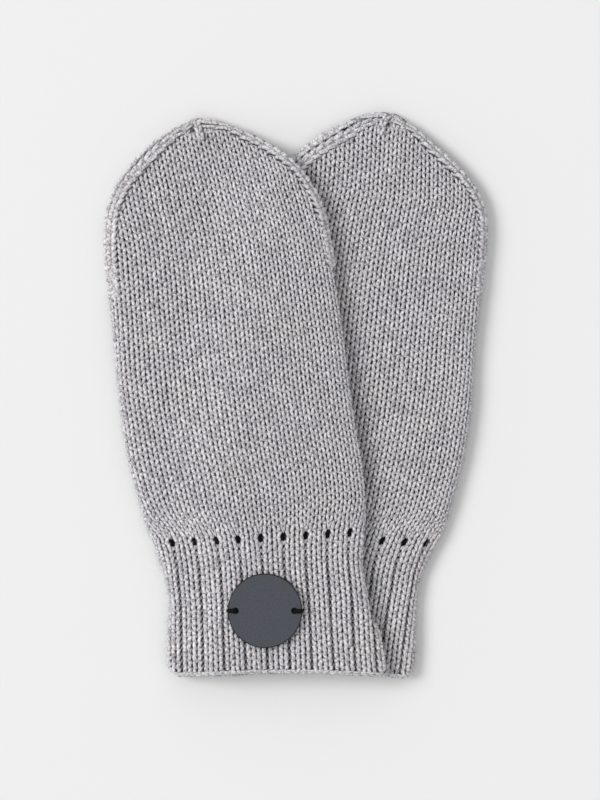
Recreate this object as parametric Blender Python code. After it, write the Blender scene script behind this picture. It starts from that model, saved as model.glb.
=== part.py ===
"""A pair of small knitted mittens laid flat, the left one lapped over the right one.

Each mitten is a stockinette sack, the hand, on a ribbed tube, the cuff, with a row of eyelets where
they meet and a leather tag on the left cuff. Lengths are in metres and +Z is up. +Y runs from the hems
to the finger tips, and the origin is on the surface that the pair lies on, under its middle.
"""

import math
from collections import namedtuple

import bmesh
import bpy
import numpy as np

MM = 0.001

# Driving dimensions
TILT = math.radians(8.0)  # each mitten leans this far outwards at its tip
HEM_CENTRE_X = -5.16 * MM  # middle of the left mitten's hem
HEM_CENTRE_Y = -74.8 * MM
WRIST = 38.0 * MM  # from the hem to the row of eyelets
TIP = 151.3 * MM  # from the hem to the finger tip
WALL = 1.9 * MM  # thickness of the knitted cloth
SEAM = 0.3 * MM  # gap between pieces that meet
LAP_GAP = 0.5 * MM  # between the two mittens where one lies on the other
FOLD_SHARE = 0.45  # height of the side folds, as a share of the mitten's thickness
TOP_EDGE = 4.6 * MM  # width over which the upper layer rounds down to the fold
UNDER_EDGE = 2.8 * MM  # the same for the layer underneath

# Ribs: two knit stitches and a sunken purl stitch, ten repeats on the upper layer
RIB_REPEATS = 10
RIB_DEPTH = 0.8 * MM
RIB_POINTS = ((0.0, 1.0), (0.2, 0.0), (0.5, 0.12), (0.8, 0.0))  # place in a repeat, share of the depth
EYELET_LENGTH = 2.3 * MM
UNDER_STEPS = 28

# Hand: a raised band of stitches runs up each shoulder to the tip
FOLD_STEPS = (1.1 * MM, 2.2 * MM, 3.3 * MM, 4.3 * MM, 5.2 * MM)  # points beside each fold
FLAT_STEPS = 18  # steps between them on the upper layer
BAND_WIDTH = 3.8 * MM
BAND_HEIGHT = 0.45 * MM
BAND_STARTS = 114.0 * MM
BAND_FULL = 126.0 * MM
CAVITY_END = 140.0 * MM

# Hem
HEM_DROOP = 1.25 * MM  # the corners hang below the middle by this
HEM_CORNER = 2.6 * MM  # size of the rounded corners

# Lap of the left mitten over the right one
RAMP_SHARE = 0.85  # the cloth starts to rise this far across the room beside the right mitten's fold
RAMP_MOST = 20.0 * MM  # but no further out than this
RAMP_INSIDE = 3.0 * MM  # and lies on the right mitten this far inside its fold

# Leather tag
TAG_DIAMETER = 20.0 * MM
TAG_THICKNESS = 1.5 * MM
TAG_CENTRE = (-8.2 * MM, -57.8 * MM)
TAG_HOLE_DIAMETER = 1.3 * MM
TAG_HOLE_INSET = 2.1 * MM  # from the rim to the hole's middle
TAG_BEVEL = 0.2 * MM
TAG_SIDES = 48

# One row for each section of the mittens, in millimetres: distance from the hem, the left mitten's half
# widths out from its line and in towards its neighbour, the same for the right mitten, the thickness
# lying flat, and how far the rows of stitches slant, as a slope
Section = namedtuple("Section", "along left_out left_in right_out right_in thick slant")
SECTIONS = (
    Section(0.0, 29.0, 29.6, 26.4, 29.6, 4.8, -0.135),
    Section(6.8, 28.5, 29.4, 26.0, 29.4, 4.8, -0.125),
    Section(13.6, 27.2, 28.4, 25.2, 28.4, 4.8, -0.112),
    Section(20.4, 26.1, 27.5, 24.6, 27.5, 4.8, -0.100),
    Section(26.4, 26.3, 27.2, 24.6, 27.2, 4.8, -0.090),
    Section(32.2, 27.4, 28.0, 26.0, 28.0, 4.6, -0.083),
    Section(38.0, 28.8, 29.2, 28.4, 29.2, 4.4, -0.078),
    Section(43.3, 29.9, 30.2, 29.7, 30.2, 4.6, -0.055),
    Section(52.8, 30.8, 31.1, 30.9, 31.1, 4.8, -0.035),
    Section(63.6, 31.9, 30.8, 31.9, 30.8, 5.0, -0.020),
    Section(74.5, 32.1, 30.6, 32.1, 30.6, 5.2, -0.010),
    Section(90.8, 31.4, 30.8, 30.9, 30.6, 5.2, 0.0),
    Section(107.1, 30.6, 30.7, 30.3, 30.5, 5.2, 0.0),
    Section(117.9, 30.1, 30.3, 29.8, 30.2, 5.0, 0.0),
    Section(125.0, 29.0, 28.9, 28.8, 29.2, 4.8, 0.0),
    Section(128.8, 28.1, 27.4, 27.9, 28.0, 4.6, 0.0),
    Section(133.4, 26.1, 25.2, 25.4, 26.4, 4.4, 0.0),
    Section(137.5, 23.3, 21.9, 21.6, 23.6, 4.2, 0.0),
    Section(141.3, 19.4, 17.9, 16.8, 19.9, 4.0, 0.0),
    Section(145.1, 14.7, 12.9, 11.2, 15.3, 3.7, 0.0),
    Section(148.6, 8.6, 7.0, 5.8, 9.9, 3.3, 0.0),
    Section(150.2, 4.9, 3.3, 3.0, 6.0, 2.8, 0.0),
    Section(150.9, 2.4, 1.6, 1.0, 3.0, 2.3, 0.0),
)

# The right mitten mirrors the left one, a little longer and lower
Mitten = namedtuple("Mitten", "name side stretch drop rib_phase")
LEFT = Mitten("left", 1, 1.0, 0.0, 0.07)
RIGHT = Mitten("right", -1, 1.012, 0.5 * MM, 0.75)

# Colour, roughness and metallic value of each material
Finish = namedtuple("Finish", "colour roughness metallic")
YARN = Finish((0.40, 0.39, 0.41, 1.0), 0.95, 0.0)
LEATHER = Finish((0.085, 0.093, 0.108, 1.0), 0.6, 0.0)


def eased(places, values):
    """A curve through the values that never swings past them."""
    places, values = np.array(places, float), np.array(values, float)
    steps = np.diff(places)
    slopes = np.diff(values) / steps
    tangents = np.zeros(len(places))
    tangents[0], tangents[-1] = slopes[0], slopes[-1]
    before, after = slopes[:-1], slopes[1:]
    alike = before * after > 0
    tangents[1:-1][alike] = 2 * before[alike] * after[alike] / (before + after)[alike]

    def value(at):
        at = np.clip(np.asarray(at, float), places[0], places[-1])
        i = np.clip(np.searchsorted(places, at) - 1, 0, len(steps) - 1)
        t = (at - places[i]) / steps[i]
        start = values[i] * (1 + 2 * t) * (1 - t) ** 2 + values[i + 1] * t * t * (3 - 2 * t)
        turn = tangents[i] * t * (1 - t) ** 2 - tangents[i + 1] * t * t * (1 - t)
        return start + steps[i] * turn

    return value


def section_curve(column, unit=MM):
    """A column of the section table as a curve along the mitten."""
    along = [s.along * MM for s in SECTIONS]
    return eased(along, [getattr(s, column) * unit for s in SECTIONS])


OUT_HALVES = {"left": section_curve("left_out"), "right": section_curve("right_out")}
IN_HALVES = {"left": section_curve("left_in"), "right": section_curve("right_in")}
thickness = section_curve("thick")
slant = section_curve("slant", 1.0)


def smooth_step(t):
    t = np.clip(t, 0.0, 1.0)
    return t * t * (3 - 2 * t)


def hem_shape(mitten, along, across):
    """How far a point near the hem moves along the mitten: the corners droop and are rounded."""
    near_hem = np.clip(1 - along / WRIST, 0.0, 1.0) ** 2
    half = np.where(across < 0, OUT_HALVES[mitten.name](along), IN_HALVES[mitten.name](along))
    share = np.abs(across) / half
    inside = np.clip(half - np.abs(across), 0.0, HEM_CORNER)
    return near_hem * (HEM_CORNER * (1 - inside / HEM_CORNER) ** 2 - HEM_DROOP * share**2)


def on_surface(mitten, along, across):
    """X and Y of a point of a mitten, given along its line and across it."""
    run = along * mitten.stretch + slant(along) * across + hem_shape(mitten, along, across)
    x = HEM_CENTRE_X - run * math.sin(TILT) + across * math.cos(TILT)
    y = HEM_CENTRE_Y - mitten.drop + run * math.cos(TILT) + across * math.sin(TILT)
    return mitten.side * x, y


def along_at(mitten, x, y):
    """Distance from the hem of the point of a mitten that lies at x and y."""
    dx = mitten.side * x - HEM_CENTRE_X
    dy = y - HEM_CENTRE_Y + mitten.drop
    run = dy * math.cos(TILT) - dx * math.sin(TILT)
    across = dx * math.cos(TILT) + dy * math.sin(TILT)
    along = run
    for _ in range(3):
        along = (run - slant(along) * across) / mitten.stretch
    return along


def band_height(along):
    """Height of the raised bands, which grow out of the sides at the shoulders."""
    return BAND_HEIGHT * smooth_step((along - BAND_STARTS) / (BAND_FULL - BAND_STARTS))


def side_fold(mitten, across):
    """X of a mitten's side fold as a curve over Y."""
    along = np.linspace(0.0, SECTIONS[-1].along * MM, 200)
    x, y = on_surface(mitten, along, across(along))
    order = np.argsort(y)
    return lambda at: np.interp(at, y[order], x[order])


right_fold = side_fold(RIGHT, IN_HALVES["right"])
left_fold = side_fold(LEFT, lambda along: -OUT_HALVES["left"](along))


def support(mitten, x, y):
    """Height of what a mitten lies on: the surface, or the right mitten under the left one."""
    if mitten is RIGHT:
        return np.zeros_like(x)
    inside = x - right_fold(y)
    outside = np.clip(RAMP_SHARE * (right_fold(y) - left_fold(y)), 0.0, RAMP_MOST)
    lap = smooth_step((inside + outside) / (outside + RAMP_INSIDE))
    along = along_at(RIGHT, x, y)
    return lap * (thickness(along) + band_height(along) + LAP_GAP)


def half_profile(left, right, low, high, edge, upper):
    """One layer of a flattened tube from fold to fold: across, height, girth, and its outward normal."""
    fold = low + FOLD_SHARE * (high - low)
    rise = (high if upper else low) - fold
    turn = np.linspace(0.0, math.pi / 2, 14)
    edge_left, edge_right = min(edge, 0.85 * left), min(edge, 0.85 * right)
    across = np.concatenate([
        edge_left * (1 - np.cos(turn)) - left,
        right - edge_right * (1 - np.cos(turn[::-1])),
    ])
    height = np.concatenate([fold + rise * np.sin(turn), fold + rise * np.sin(turn[::-1])])
    girth = np.concatenate([[0.0], np.cumsum(np.hypot(np.diff(across), np.diff(height)))])
    normal = np.stack([-np.gradient(height, girth), np.gradient(across, girth)])
    normal *= (1 if upper else -1) / np.hypot(*normal)
    return across, height, girth, normal


def sampled(profile, places, relief=0.0):
    """Across and height at distances along a profile, moved out along its normal by the relief."""
    across, height, girth, normal = profile
    at = np.interp(places, girth, across) + relief * np.interp(places, girth, normal[0])
    up = np.interp(places, girth, height) + relief * np.interp(places, girth, normal[1])
    return at, up


def ring(mitten, along, places_on, inset=0.0, relief_on=None, shift=0.0):
    """A closed ring of points round a mitten, over the upper layer and back underneath.

    places_on gives the upper layer's places from its girth, and relief_on their relief.
    """
    left = float(OUT_HALVES[mitten.name](along)) - inset
    right = float(IN_HALVES[mitten.name](along)) - inset
    low, high = inset, float(thickness(along)) - inset
    top = half_profile(left, right, low, high, TOP_EDGE, True)
    under = half_profile(left, right, low, high, UNDER_EDGE, False)
    places = places_on(top[2][-1])
    relief = 0.0 if relief_on is None else relief_on(places, top[2][-1])
    over, over_height = sampled(top, places, relief)
    back = np.linspace(under[2][-1], 0.0, UNDER_STEPS + 1)[1:-1]
    below, below_height = sampled(under, back)
    across = np.concatenate([over, below])
    height = np.concatenate([over_height, below_height])
    runs = np.full(len(across), along)
    runs[: len(places)] += shift
    x, y = on_surface(mitten, runs, across)
    return np.stack([x, y, height + support(mitten, x, y)], axis=1)


def rib_places(phase):
    """Places of the ribs' points on the upper layer, as shares of its girth, and each one's depth."""
    found = [(0.0, 0.0), (1.0, 0.0)]
    for repeat in range(-1, RIB_REPEATS + 1):
        for place, depth in RIB_POINTS:
            share = (repeat + phase + place) / RIB_REPEATS
            if 0.012 < share < 0.988:
                found.append((share, depth))
    return np.array(sorted(found)).T


def hand_places(girth):
    """Places on the hand's upper layer: close together beside the folds, and even between them."""
    beside = np.array(FOLD_STEPS) * min(1.0, 0.32 * girth / FOLD_STEPS[-1])
    middle = np.linspace(beside[-1], girth - beside[-1], FLAT_STEPS + 1)[1:-1]
    return np.concatenate([[0.0], beside, middle, girth - beside[::-1], [girth]])


def band_relief(along):
    """The raised bands beside the folds, from the shoulders to the tip."""
    strength = float(band_height(along))

    def relief(places, girth):
        width = min(BAND_WIDTH, 0.3 * girth)
        beside = np.minimum(places, girth - places) / width
        return strength * np.where(beside < 1, np.sin(math.pi * np.clip(beside, 0, 1)) ** 0.5, 0.0)

    return relief


def skin(bm, rings, flip=False):
    """Quads between each ring of vertices and the next."""
    for ring_a, ring_b in zip(rings, rings[1:]):
        count = len(ring_a)
        for i in range(count):
            j = (i + 1) % count
            face = (ring_a[i], ring_a[j], ring_b[j], ring_b[i])
            bm.faces.new(face[::-1] if flip else face)


def cap(bm, last_ring, tip, flip=False):
    """A fan from a ring of vertices to a point."""
    point = bm.verts.new(tip)
    for i, vertex in enumerate(last_ring):
        face = (vertex, last_ring[(i + 1) % len(last_ring)], point)
        bm.faces.new(face[::-1] if flip else face)


def vertices(bm, points):
    return [bm.verts.new(p) for p in points]


def material(name, finish):
    made = bpy.data.materials.new(name)
    made.use_nodes = True
    shader = made.node_tree.nodes["Principled BSDF"]
    shader.inputs["Base Color"].default_value = finish.colour
    shader.inputs["Roughness"].default_value = finish.roughness
    shader.inputs["Metallic"].default_value = finish.metallic
    return made


def solid(name, bm, finish):
    """A named object from a finished bmesh, with its own material, shaded smooth."""
    bmesh.ops.recalc_face_normals(bm, faces=bm.faces)
    mesh = bpy.data.meshes.new(name)
    bm.to_mesh(mesh)
    bm.free()
    mesh.materials.append(material(name, finish))
    mesh.shade_smooth()
    mesh.set_sharp_from_angle(angle=math.radians(40))
    made = bpy.data.objects.new(name, mesh)
    bpy.context.scene.collection.objects.link(made)
    return made


def make_cuff(mitten):
    """The ribbed tube from the hem to the eyelets, whose sunken ribs end in a notch for each eyelet."""
    shares, depths = rib_places(mitten.rib_phase)

    def places(girth):
        return shares * girth

    def ribs(_, __):
        return -RIB_DEPTH * depths

    notch = np.where(depths > 0.5, -EYELET_LENGTH, 0.0)
    top = WRIST - SEAM
    outer_runs = (0.0, 1.5 * MM, 8 * MM, 15 * MM, 22 * MM, 29 * MM, 34 * MM, top)
    bm = bmesh.new()
    outer = [
        vertices(bm, ring(mitten, run, places, 0.0, ribs, notch if run == top else 0.0))
        for run in outer_runs
    ]
    inner = [
        vertices(bm, ring(mitten, run, places, WALL, None, notch if run == top else 0.0))
        for run in (top, 29 * MM, 15 * MM, 0.0)
    ]
    skin(bm, outer + inner + [outer[0]])
    return solid(f"{mitten.name}_cuff", bm, YARN)


def make_hand(mitten):
    """The stockinette sack from the eyelets to the tip, open at the wrist."""
    outer_runs = [s.along * MM for s in SECTIONS if s.along * MM >= WRIST]
    inner_runs = [run for run in outer_runs[:-1] if run < CAVITY_END][::-2]
    bm = bmesh.new()
    outer = [
        vertices(bm, ring(mitten, run, hand_places, 0.0, band_relief(run))) for run in outer_runs
    ]
    inner = [vertices(bm, ring(mitten, run, hand_places, WALL)) for run in inner_runs]
    if inner_runs[-1] != outer_runs[0]:
        inner.append(vertices(bm, ring(mitten, outer_runs[0], hand_places, WALL)))
    skin(bm, inner + outer)
    last = SECTIONS[-1].along * MM
    middle = (IN_HALVES[mitten.name](last) - OUT_HALVES[mitten.name](last)) / 2
    tip_x, tip_y = on_surface(mitten, np.array([TIP]), np.array([middle]))
    tip_height = FOLD_SHARE * float(thickness(TIP)) + float(support(mitten, tip_x, tip_y)[0])
    cap(bm, outer[-1], (tip_x[0], tip_y[0], tip_height))
    end = np.mean([v.co for v in inner[0]], axis=0)
    cap(bm, inner[0], end, flip=True)
    return solid(f"{mitten.name}_hand", bm, YARN)


def make_tag():
    """The round leather tag, with a hole at each side for its thread."""
    centre = np.array(TAG_CENTRE)
    ground = support(LEFT, *centre[:, None])[0] + thickness(along_at(LEFT, *centre[:, None]))[0]
    bm = bmesh.new()
    bmesh.ops.create_cone(
        bm, cap_ends=True, segments=TAG_SIDES,
        radius1=TAG_DIAMETER / 2, radius2=TAG_DIAMETER / 2, depth=TAG_THICKNESS,
    )
    rims = [e for e in bm.edges if abs(e.verts[0].co.z - e.verts[1].co.z) < TAG_BEVEL]
    bmesh.ops.bevel(bm, geom=rims, offset=TAG_BEVEL, segments=1, affect="EDGES")
    tag = solid("leather_tag", bm, LEATHER)
    tag.location = (*centre, ground + SEAM + TAG_THICKNESS / 2)
    for side in (-1, 1):
        punch = bmesh.new()
        bmesh.ops.create_cone(
            punch, cap_ends=True, segments=12, radius1=TAG_HOLE_DIAMETER / 2,
            radius2=TAG_HOLE_DIAMETER / 2, depth=2 * TAG_THICKNESS,
        )
        cutter = solid(f"tag_punch_{side}", punch, LEATHER)
        offset = side * (TAG_DIAMETER / 2 - TAG_HOLE_INSET)
        cutter.location = tag.location.x + offset, tag.location.y, tag.location.z
        cutter.hide_render = True
        cutter.display_type = "WIRE"
        hole = tag.modifiers.new("hole", "BOOLEAN")
        hole.object = cutter
    return tag


def main():
    for old in list(bpy.data.objects):
        bpy.data.objects.remove(old)
    for mitten in (RIGHT, LEFT):
        make_hand(mitten)
        make_cuff(mitten)
    make_tag()


main()
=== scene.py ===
"""The looks of a pair of small knitted mittens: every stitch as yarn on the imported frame.

A stitch is two legs of yarn that make a V. Wales are the columns of stitches, and rows run across them.
Places on a mitten are given as its distance along from the hem and its place round the ring, which runs
from the outer side fold (0) over the upper layer to the inner fold (1) and back underneath (2).
"""

import math
from collections import namedtuple

import bpy
import numpy as np
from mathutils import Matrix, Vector


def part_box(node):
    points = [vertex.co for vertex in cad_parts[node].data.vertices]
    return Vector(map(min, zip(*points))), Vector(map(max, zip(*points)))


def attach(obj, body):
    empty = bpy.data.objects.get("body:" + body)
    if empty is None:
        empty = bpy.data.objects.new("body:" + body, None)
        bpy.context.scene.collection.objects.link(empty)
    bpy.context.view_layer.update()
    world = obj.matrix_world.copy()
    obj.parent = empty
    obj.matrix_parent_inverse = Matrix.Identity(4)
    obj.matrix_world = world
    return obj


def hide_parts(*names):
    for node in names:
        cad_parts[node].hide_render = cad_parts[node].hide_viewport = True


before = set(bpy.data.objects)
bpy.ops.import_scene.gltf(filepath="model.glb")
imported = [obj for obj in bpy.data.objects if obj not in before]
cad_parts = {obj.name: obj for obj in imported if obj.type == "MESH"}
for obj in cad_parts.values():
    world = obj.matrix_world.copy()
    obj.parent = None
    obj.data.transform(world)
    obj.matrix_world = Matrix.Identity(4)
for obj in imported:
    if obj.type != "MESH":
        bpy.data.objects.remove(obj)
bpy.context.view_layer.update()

MM = 0.001
RNG = np.random.default_rng(7)

# The mittens' form, the same as the frame's
TILT = math.radians(8.0)
HEM_CENTRE_X = -5.16 * MM
HEM_CENTRE_Y = -74.8 * MM
WRIST = 38.0 * MM
LAP_GAP = 0.5 * MM
FOLD_SHARE = 0.45
TOP_EDGE = 4.6 * MM
UNDER_EDGE = 2.8 * MM
HEM_DROOP = 1.25 * MM
HEM_CORNER = 2.6 * MM
RAMP_SHARE = 0.85
RAMP_MOST = 20.0 * MM
RAMP_INSIDE = 3.0 * MM
BAND_HEIGHT = 0.45 * MM
BAND_STARTS = 114.0 * MM
BAND_FULL = 126.0 * MM

Section = namedtuple("Section", "along left_out left_in right_out right_in thick slant")
SECTIONS = (
    Section(0.0, 29.0, 29.6, 26.4, 29.6, 4.8, -0.135),
    Section(6.8, 28.5, 29.4, 26.0, 29.4, 4.8, -0.125),
    Section(13.6, 27.2, 28.4, 25.2, 28.4, 4.8, -0.112),
    Section(20.4, 26.1, 27.5, 24.6, 27.5, 4.8, -0.100),
    Section(26.4, 26.3, 27.2, 24.6, 27.2, 4.8, -0.090),
    Section(32.2, 27.4, 28.0, 26.0, 28.0, 4.6, -0.083),
    Section(38.0, 28.8, 29.2, 28.4, 29.2, 4.4, -0.078),
    Section(43.3, 29.9, 30.2, 29.7, 30.2, 4.6, -0.055),
    Section(52.8, 30.8, 31.1, 30.9, 31.1, 4.8, -0.035),
    Section(63.6, 31.9, 30.8, 31.9, 30.8, 5.0, -0.020),
    Section(74.5, 32.1, 30.6, 32.1, 30.6, 5.2, -0.010),
    Section(90.8, 31.4, 30.8, 30.9, 30.6, 5.2, 0.0),
    Section(107.1, 30.6, 30.7, 30.3, 30.5, 5.2, 0.0),
    Section(117.9, 30.1, 30.3, 29.8, 30.2, 5.0, 0.0),
    Section(125.0, 29.0, 28.9, 28.8, 29.2, 4.8, 0.0),
    Section(128.8, 28.1, 27.4, 27.9, 28.0, 4.6, 0.0),
    Section(133.4, 26.1, 25.2, 25.4, 26.4, 4.4, 0.0),
    Section(137.5, 23.3, 21.9, 21.6, 23.6, 4.2, 0.0),
    Section(141.3, 19.4, 17.9, 16.8, 19.9, 4.0, 0.0),
    Section(145.1, 14.7, 12.9, 11.2, 15.3, 3.7, 0.0),
    Section(148.6, 8.6, 7.0, 5.8, 9.9, 3.3, 0.0),
    Section(150.2, 4.9, 3.3, 3.0, 6.0, 2.8, 0.0),
    Section(150.9, 2.4, 1.6, 1.0, 3.0, 2.3, 0.0),
)
LAST = SECTIONS[-1].along * MM

# Mittens. side is 1 for the left one and -1 for the right one, which is mirrored. stretch is its length as a
# multiple of the sections', and drop is how much lower its hem lies. rib_phase places the first eyelet, and
# rib_drift is how far the ribs lean to the outer fold on their way down. snug narrows the wales of the hand
# all over, and bunching narrows them at the inner fold (below 0) or the outer one (above 0). band_out and
# band_in are how far the shaping bands reach onto the upper layer at the two folds.
Mitten = namedtuple("Mitten", "name side stretch drop snug rib_phase rib_drift bunching band_out band_in")
LEFT = Mitten("left", 1, 1.0, 0.0, 0.957, 0.128, 0.085, -0.06, 4.3 * MM, 2.9 * MM)
RIGHT = Mitten("right", -1, 1.012, 0.5 * MM, 1.0, 0.75, -0.01, 0.05, 3.0 * MM, 5.4 * MM)

# Knitting
WALES = 60  # stitches round a mitten
MIDDLE_WALE = 15  # at the middle of the upper layer
RIB_ROWS = 22
HAND_ROWS = 64
RIB_KNIT_SHARE = 0.46  # width of each knit wale in a rib repeat, whose purl wale has the rest
WalePitch = namedtuple("WalePitch", "along width")
WALE_PITCHES = (
    WalePitch(0.0, 1.95),
    WalePitch(28.0, 1.92),
    WalePitch(37.0, 2.01),
    WalePitch(41.0, 2.15),
    WalePitch(46.0, 2.38),
    WalePitch(52.0, 2.49),
    WalePitch(66.0, 2.54),
    WalePitch(84.0, 2.55),
    WalePitch(98.0, 2.50),
    WalePitch(112.0, 2.44),
    WalePitch(132.0, 2.36),
    WalePitch(151.0, 2.30),
)
WALE_LEAST = 1.6 * MM  # a wale's yarn is no thinner than in one of this width
WALE_MOST = 2.9 * MM  # and no thicker than in one of this width
YARN_SHARE = 0.22  # the yarn's radius as a share of the width of its wale
YARN_DEPTH = 0.55 * MM  # from the frame's surface down to the yarn's middle
BACKING_DEPTH = 1.25 * MM
BACKING_WALL = 0.5 * MM
HEM_ROW = 0.75 * MM  # of the ribs' first row and of the cast-off edge
FIRST_ROW = WRIST + 0.4 * MM  # of the hand, at the eyelets' upper ends
LAST_ROW = LAST - 1.6 * MM
HAND_SPREAD = 14.0 * MM  # the wales spread out over this length above the wrist
TIP_NARROWS = 118.0 * MM  # from here to the tip, the wales lean and the bands cover more of them
TIP_FADE = 14.0 * MM  # the length over which the bands come to do so
TIP_DRIFT = 0.05  # lean of the wales to the outer fold near the tip
HIGH_ROWS = 92.0 * MM  # the stitches above this are pieces of their own
LAP_MARGIN = 7.0 * MM  # stitches further inside the lap than this are left out

# Ribs and eyelets
RIBS_END = WRIST - 0.3 * MM  # where the ribs begin to turn into the hand
RIBS_FADE = 3.2 * MM  # the length over which they do
GROOVE_DEPTH = 0.62 * MM  # from the ribs' crest to the purl wale's yarn
RIB_SWELL = 0.05  # how much thicker the yarn is in the ribs
RIB_ROUNDING = 0.25 * MM  # how far the outer legs of a rib are set back
PURL_RADIUS = 0.64 * MM
PURL_REACH = 0.7  # half the width of a purl bump, in wales
PURL_FADE = 11.0 * MM  # the purl wale is sunk deeper and deeper, with more and more painted shade, over this length below the eyelets
EYELET_LENGTH = 2.7 * MM
EYELET_MIDDLE = WRIST - 1.3 * MM
EYELET_DEPTH = 1.2 * MM
EYELET_PUSH = 0.2  # how far an eyelet pushes the wales beside it apart, in wales
EYELET_REACH = 1.15 * MM  # half the length over which it does

# Unevenness of the stitches
JITTER_ALONG = 0.025  # in rows
JITTER_ACROSS = 0.01  # in wales
JITTER_LEAN = 0.1  # as a share of the lean
JITTER_RADIUS = 0.05
JITTER_CHAIN = 0.03
WANDER = 0.07  # of the wales, in wales
WAVES = 0.10 * MM  # of the surface

# One leg of a stitch: across in wale widths, up in rows, out in yarn radii, and its own radius
LegPoint = namedtuple("LegPoint", "across up out radius")
LEG = (
    LegPoint(0.115, -0.27, -0.80, 0.70),
    LegPoint(0.15, -0.10, -0.05, 0.92),
    LegPoint(0.205, 0.14, 0.36, 1.00),
    LegPoint(0.26, 0.40, 0.42, 1.00),
    LegPoint(0.315, 0.67, 0.16, 0.98),
    LegPoint(0.355, 0.90, -0.50, 0.90),
    LegPoint(0.375, 1.07, -1.35, 0.72),
)
BAND_LEG = (
    LegPoint(0.10, -0.24, -1.10, 0.64),
    LegPoint(0.135, -0.07, -0.25, 0.88),
    LegPoint(0.19, 0.18, 0.20, 0.98),
    LegPoint(0.25, 0.46, 0.30, 1.00),
    LegPoint(0.31, 0.74, 0.10, 0.98),
    LegPoint(0.355, 0.97, -0.50, 0.88),
    LegPoint(0.375, 1.12, -1.30, 0.66),
)
LEG_PLACE = 0.246  # of a leg's middle, in wale widths from the middle of its wale
LEG_CENTRE = 0.25  # of a leg in the table, across
RIB_LEAN = 0.75  # lean of a leg in the ribs as a share of its lean in the hand

# Shaping bands and the gathered tip
BAND_CHAINS = 3
BAND_CHAIN_WIDTH = 3.0 * MM
BAND_LEAD = 8.0 * MM  # the chains begin this far before the bands rise
BAND_POINTS = 181  # on the path of a chain, up to the tip
BAND_YARN_SHARE = 0.26  # the yarn's radius as a share of the chain's width
BAND_TUCK = 0.25  # the hand's stitches reach this many wales in under a band
BAND_TIP_TUCK = 0.3  # and this many more near the tip
TAPER_STARTS = 142.5 * MM
TAPER_LENGTH = 8.5 * MM
TAPER_SHARE = 0.42  # how much narrower the bands are at the tip
GATHER_OUTER = 0.35  # places round the ring where the bands are drawn together at the tip
GATHER_INNER = 0.58
GATHER_LENGTH = 3.2 * MM  # before the tip, over which they are
NOTCH_ALONG = LAST - 2.4 * MM  # the dark hollow between them
NOTCH_RING = 0.45
NOTCH_RADIUS = 1.0 * MM
HOOK_RING = 0.53  # place of the hooked strand beside the hollow
HOOK_WIDTH = 2.1 * MM
HOOK_YARN_SHARE = 0.27
TIP_TURNS = (3.6, 2.9, 2.2, 1.5, 0.9, 0.4, 0.0)  # of the gathering yarn, in millimetres before the tip
TIP_YARN_RADIUS = 0.6 * MM

# Cast-off edge and loose fibres
CAST_OFF_WIDTH = 1.15 * MM
CAST_OFF_YARN_SHARE = 0.40
FIBRES = 4200
FIBRE_LEAST = 0.9 * MM  # in length
FIBRE_MOST = 2.6 * MM
FIBRE_RADIUS = 0.032 * MM

# Tag and thread
TAG_HOLE_INSET = 2.1 * MM  # from the rim to the hole's middle
TAG_HOLE_RADIUS = 0.65 * MM
TAG_ROUNDING = 0.28 * MM
TAG_RIM_SHARE = 0.92  # the darker edge, the leather's own dark edge together with painted shade, starts this far out from the middle
THREAD_RADIUS = 0.6 * MM
THREAD_RISE = 0.24 * MM  # of the thread's middle over the leather


def eased(places, values):
    """A curve through the values that never swings past them."""
    places, values = np.array(places, float), np.array(values, float)
    steps = np.diff(places)
    slopes = np.diff(values) / steps
    tangents = np.zeros(len(places))
    tangents[0], tangents[-1] = slopes[0], slopes[-1]
    before, after = slopes[:-1], slopes[1:]
    alike = before * after > 0
    tangents[1:-1][alike] = 2 * before[alike] * after[alike] / (before + after)[alike]

    def value(at):
        at = np.clip(np.asarray(at, float), places[0], places[-1])
        i = np.clip(np.searchsorted(places, at) - 1, 0, len(steps) - 1)
        t = (at - places[i]) / steps[i]
        start = values[i] * (1 + 2 * t) * (1 - t) ** 2 + values[i + 1] * t * t * (3 - 2 * t)
        turn = tangents[i] * t * (1 - t) ** 2 - tangents[i + 1] * t * t * (1 - t)
        return start + steps[i] * turn

    return value


def section_curve(column, unit=MM):
    """One column of the sections, as a curve over the distance from the hem."""
    along = [s.along * MM for s in SECTIONS]
    return eased(along, [getattr(s, column) * unit for s in SECTIONS])


OUT_HALVES = {"left": section_curve("left_out"), "right": section_curve("right_out")}
IN_HALVES = {"left": section_curve("left_in"), "right": section_curve("right_in")}
thickness = section_curve("thick")
slant = section_curve("slant", 1.0)
wale_pitch = eased([p.along * MM for p in WALE_PITCHES], [p.width * MM for p in WALE_PITCHES])


def smooth_step(t):
    t = np.clip(t, 0.0, 1.0)
    return t * t * (3 - 2 * t)


def hem_shape(mitten, along, across):
    """How far a point near the hem moves along the mitten: the corners droop and are rounded."""
    near_hem = np.clip(1 - along / WRIST, 0.0, 1.0) ** 2
    half = np.where(across < 0, OUT_HALVES[mitten.name](along), IN_HALVES[mitten.name](along))
    share = np.abs(across) / half
    inside = np.clip(half - np.abs(across), 0.0, HEM_CORNER)
    return near_hem * (HEM_CORNER * (1 - inside / HEM_CORNER) ** 2 - HEM_DROOP * share**2)


def on_surface(mitten, along, across):
    """X and Y of the point of a mitten at a distance along it and across it."""
    run = along * mitten.stretch + slant(along) * across + hem_shape(mitten, along, across)
    x = HEM_CENTRE_X - run * math.sin(TILT) + across * math.cos(TILT)
    y = HEM_CENTRE_Y - mitten.drop + run * math.cos(TILT) + across * math.sin(TILT)
    return mitten.side * x, y


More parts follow.
